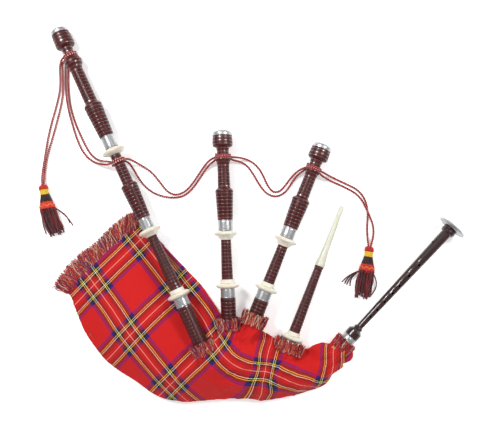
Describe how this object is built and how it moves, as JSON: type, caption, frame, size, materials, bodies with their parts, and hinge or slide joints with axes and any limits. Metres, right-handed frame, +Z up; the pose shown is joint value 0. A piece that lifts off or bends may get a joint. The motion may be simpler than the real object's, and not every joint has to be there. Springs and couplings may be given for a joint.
{
  "type": "bagpipes",
  "caption": "Mouth-blown bagpipes lying at rest: cloth-covered bag, bass and tenor drones, blowpipe, chanter with finger holes, and a tasselled drone cord.",
  "frame": {"origin": "on the surface the instrument lies on, under the middle of its overall box, the drone cord and tassels not counted", "axes": "+Z up from that surface, +X towards the chanter's sole, +Y towards the bells of the drones"},
  "size_m": [0.972, 0.865, 0.0881],
  "materials": {
    "leather": "waxed",
    "tartan_cloth": "woven wool",
    "wool_fringe": "cut threads",
    "hemp": "waxed thread",
    "tassel_silk": "twisted thread",
    "drone_cord": "braided",
    "engraved_silver": "turned lines",
    "imitation_ivory": "polished",
    "mouthpiece_plastic": "satin",
    "bridle_rubber": "matt",
    "staple_copper": "drawn",
    "reed_cane": "dry cane",
    "dark_wood": "polished",
    "turned_wood": "polished, combed"
  },
  "bodies": {
    "root": {"bag": "leather", "bag_cover": "tartan_cloth", "cover_end_fringe": "wool_fringe", "collar_fringes": "wool_fringe", "bass_stock": "turned_wood", "tenor_1_stock": "turned_wood", "tenor_2_stock": "turned_wood", "blowpipe_stock": "turned_wood", "chanter_stock": "turned_wood", "drone_stock_ferrules": "engraved_silver", "blowpipe_stock_ferrule": "engraved_silver", "chanter_stock_ferrule": "engraved_silver", "stock_bindings": "hemp", "cord_bass_tenor_span": "drone_cord", "cord_tenors_span": "drone_cord"},
    "bass_bottom": {"bass_bottom_joint": "turned_wood", "bass_bottom_mounts": "imitation_ivory", "bass_bottom_hemp": "hemp", "bass_reed": "reed_cane", "bass_reed_bridle": "bridle_rubber"},
    "bass_middle": {"bass_middle_joint": "turned_wood", "bass_middle_ferrule": "engraved_silver", "bass_middle_mount": "imitation_ivory", "bass_middle_hemp": "hemp", "cord_bass_span": "drone_cord"},
    "bass_top": {"bass_top_joint": "turned_wood", "bass_top_ferrule": "engraved_silver", "bass_ring_cap": "engraved_silver", "cord_tassel_1_span": "drone_cord", "tassel_1": "tassel_silk"},
    "tenor_1_bottom": {"tenor_1_bottom_joint": "turned_wood", "tenor_1_bottom_mounts": "imitation_ivory", "tenor_1_hemp": "hemp", "tenor_1_reed": "reed_cane", "tenor_1_reed_bridle": "bridle_rubber"},
    "tenor_1_top": {"tenor_1_top_joint": "turned_wood", "tenor_1_top_ferrule": "engraved_silver", "tenor_1_ring_cap": "engraved_silver", "cord_tenor_1_wrap": "drone_cord"},
    "tenor_2_bottom": {"tenor_2_bottom_joint": "turned_wood", "tenor_2_bottom_mounts": "imitation_ivory", "tenor_2_hemp": "hemp", "tenor_2_reed": "reed_cane", "tenor_2_reed_bridle": "bridle_rubber"},
    "tenor_2_top": {"tenor_2_top_joint": "turned_wood", "tenor_2_top_ferrule": "engraved_silver", "tenor_2_ring_cap": "engraved_silver", "cord_tassel_2_span": "drone_cord", "tassel_2": "tassel_silk"},
    "blowpipe": {"blowpipe_body": "turned_wood", "blowpipe_mount": "imitation_ivory", "blowpipe_hemp": "hemp"},
    "blowpipe_valve": {"blowpipe_valve_flap": "leather"},
    "mouthpiece": {"mouthpiece": "mouthpiece_plastic"},
    "chanter": {"chanter_body": "dark_wood", "chanter_sole": "engraved_silver", "chanter_hemp": "hemp", "chanter_reed_staple": "staple_copper", "chanter_reed_blades": "reed_cane"}
  },
  "joints": [
    {"name": "bass_bottom_turn", "type": "hinge", "parent": "root", "child": "bass_bottom", "pos_m": [-0.17236, -0.18624, 0.05408], "axis": [-0.4197, 0.9063, -0.0493], "continuous": true},
    {"name": "bass_middle_tuning", "type": "slide", "parent": "root", "child": "bass_middle", "axis": [-0.4197, 0.9063, -0.0493], "range_m": [0, 0.025]},
    {"name": "bass_top_tuning", "type": "slide", "parent": "bass_middle", "child": "bass_top", "axis": [-0.4197, 0.9063, -0.0493], "range_m": [0, 0.025]},
    {"name": "tenor_1_bottom_turn", "type": "hinge", "parent": "root", "child": "tenor_1_bottom", "pos_m": [-0.0656, -0.16763, 0.03662], "axis": [-0.0371, 0.9985, -0.0405], "continuous": true},
    {"name": "tenor_1_tuning", "type": "slide", "parent": "root", "child": "tenor_1_top", "axis": [-0.0371, 0.9985, -0.0405], "range_m": [0, 0.025]},
    {"name": "tenor_2_bottom_turn", "type": "hinge", "parent": "root", "child": "tenor_2_bottom", "pos_m": [0.01977, -0.17401, 0.03745], "axis": [0.3694, 0.9284, -0.0405], "continuous": true},
    {"name": "tenor_2_tuning", "type": "slide", "parent": "root", "child": "tenor_2_top", "axis": [0.3694, 0.9284, -0.0405], "range_m": [0, 0.025]},
    {"name": "blowpipe_turn", "type": "hinge", "parent": "root", "child": "blowpipe", "pos_m": [0.07887, -0.28715, 0.03224], "axis": [0.3637, 0.9284, -0.0764], "continuous": true},
    {"name": "mouthpiece_turn", "type": "hinge", "parent": "blowpipe", "child": "mouthpiece", "pos_m": [0.1407, -0.12932, 0.01925], "axis": [0.3637, 0.9284, -0.0764], "continuous": true},
    {"name": "blowpipe_valve_swing", "type": "hinge", "parent": "blowpipe", "child": "blowpipe_valve", "pos_m": [0.06785, -0.31527, 0.04248], "axis": [-0.9311, 0.3648, 0], "range_deg": [0, 50]},
    {"name": "chanter_turn", "type": "hinge", "parent": "root", "child": "chanter", "pos_m": [0.21442, -0.27786, 0.034], "axis": [0.6805, 0.7327, 0], "continuous": true}
  ]
}
